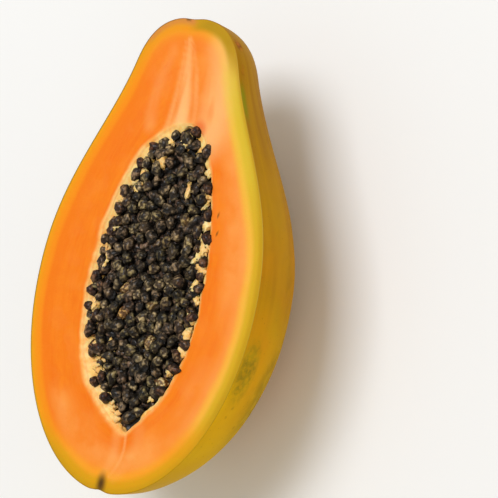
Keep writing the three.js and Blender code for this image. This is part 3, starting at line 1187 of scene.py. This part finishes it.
def make_pulp():
    """Soft teeth at the edge of the lining, torn bits of it on the seeds, and fine dry threads."""
    draw = random.Random(PULP_DRAWS)
    teeth = [at_lining(draw, TOOTH_TURNS, TOOTH_LONG) for _ in range(TOOTH_COUNT)]
    bits = []
    for x, y in PULP_SPOTS:
        spot = Vector((x, y, 0)) * MM
        radius = max(0, cavity_radius(spot.y) - BIT_MARGIN)
        middle = cavity_x(spot.y)
        spot.x = middle + max(-radius, min(radius, spot.x - middle))
        beside = smooth(math.hypot(spot.x - middle, spot.z) / max(radius, MM), 0.75, 0.95)
        spot.z = bed_height(spot.x, spot.y) + (draw.uniform(*BIT_HIGH) + beside) * MM
        way = Vector((draw.uniform(-1, 1), draw.uniform(-1.5, 1.5), draw.uniform(-0.3, 0.3)))
        bits.append((spot, draw.uniform(*BIT_LONG) * MM, way.to_track_quat("Z", "Y")))
    scraps = [scrap_shape(i) for i in range(PULP_SHAPES)]
    tuck_under_cut(place_copies(scraps, bits, "pulp_bits", pulp_material_made,
                                lambda place: (0, 0, 0.3 * draw.random() ** 2)))

    def tooth_look(place):
        return 0, 0, 0.35 * max(draw.random() ** 3, near_spot(place, -0.8, -75.8, 3, 5))

    place_copies([pulp_shape(i) for i in range(PULP_SHAPES)], teeth, "seed_pulp", pulp_material_made,
                 tooth_look)
    hairs = [at_lining(draw, HAIR_TURNS, HAIR_LONG) for _ in range(HAIR_COUNT)]
    place_copies([hair_shape(i) for i in range(HAIR_SHAPES)], hairs, "dry_threads", thread_material_made,
                 lambda place: (0, 0, 0))


def make_bed():
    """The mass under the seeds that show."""
    low = CAVITY_TOP - CAVITY_LENGTH + BED_GAP
    high = CAVITY_TOP - BED_GAP

    def bed_point(along, across):
        y = mix(high, low, 1 - fade(along))
        radius = max(0, cavity_radius(y) - BED_GAP)
        angle = 2 * math.pi * across
        rib = rib_factor(math.cos(angle), math.sin(angle))
        x, z = radius * rib * math.cos(angle), radius * rib * math.sin(angle)
        middle = cavity_x(y)
        top = bed_height(x + middle, y)
        if z > top:
            spot = Vector((x, y, 0))
            z = top - BED_SINK + BED_RELIEF * lumps(spot, 3 * MM, 9)
            widest = math.sqrt(max(0, radius * radius - z * z))
            x = max(-widest, min(widest, x))
        return HOME + Vector((x + middle, y, z))

    bed = wrap_grid("seed_bed", BED_ROWS, BED_COLUMNS, bed_point)
    close_seams(bed)
    bed.data.materials.append(bed_material_made)
    smooth_shade(bed)
    return finish_piece(bed)


# Stage, light and camera

def make_floor():
    bpy.ops.mesh.primitive_plane_add(size=FLOOR_SIZE, location=(0, 0, -FLOOR_DROP))
    floor = bpy.context.object
    floor.name = "floor"
    floor.data.materials.append(floor_material())


def camera_axes():
    """The camera's right, up and back directions."""
    back = Vector((
        math.sin(CAMERA_TURN) * math.cos(CAMERA_TIP), math.sin(CAMERA_TIP),
        math.cos(CAMERA_TURN) * math.cos(CAMERA_TIP),
    ))
    level = Vector((0, 1, 0)).cross(back).normalized()
    rise = back.cross(level)
    right = math.cos(CAMERA_ROLL) * level + math.sin(CAMERA_ROLL) * rise
    up = -math.sin(CAMERA_ROLL) * level + math.cos(CAMERA_ROLL) * rise
    return right, up, back


def make_camera():
    right, up, back = camera_axes()
    place = HOME - CAMERA_ASIDE[0] * right - CAMERA_ASIDE[1] * up + CAMERA_DISTANCE * back
    lens = bpy.data.cameras.new("camera")
    lens.lens = FOCAL_PIXELS * SENSOR_WIDTH / PICTURE_PIXELS
    lens.sensor_width = SENSOR_WIDTH
    lens.clip_start = 0.05
    camera = show(bpy.data.objects.new("camera", lens))
    camera.matrix_world = Matrix.Translation(place) @ Matrix((right, up, back)).transposed().to_4x4()
    bpy.context.scene.camera = camera


def add_light(name, direction, distance, size, power, colour):
    """A soft square light in a direction from the fruit, facing it."""
    lamp = bpy.data.lights.new(name, "AREA")
    lamp.size = size
    lamp.energy = power
    lamp.color = colour
    light = show(bpy.data.objects.new(name, lamp))
    light.location = HOME + direction.normalized() * distance
    light.rotation_euler = direction.to_track_quat("Z", "Y").to_euler()


def make_lights():
    right, up, back = camera_axes()
    key = back * 0.75 - right * 0.62 + up * 0.5
    add_light("key", key, distance=3.2, size=1.6, power=62, colour=(0.98, 1.0, 1.06))
    add_light("fill", back * 0.6 + right, distance=1.8, size=1.2, power=12, colour=(1.0, 0.96, 0.88))
    world = bpy.data.worlds.new("studio")
    world.use_nodes = True
    sky = world.node_tree.nodes["Background"].inputs
    sky["Color"].default_value = (1, 0.95, 0.86, 1)
    sky["Strength"].default_value = 0.56
    bpy.context.scene.world = world
    bpy.context.scene.view_settings.view_transform = "Standard"


make_camera()
make_floor()
make_lights()
skin_material_made = skin_material()
flesh_material_made = flesh_material()
seed_material_made = seed_material()
pale_seed_material_made = pale_seed_material()
bed_material_made = bed_material()
pulp_material_made = pulp_material()
thread_material_made = thread_material()
make_fruit()
make_bed()
make_seeds()
make_pulp()
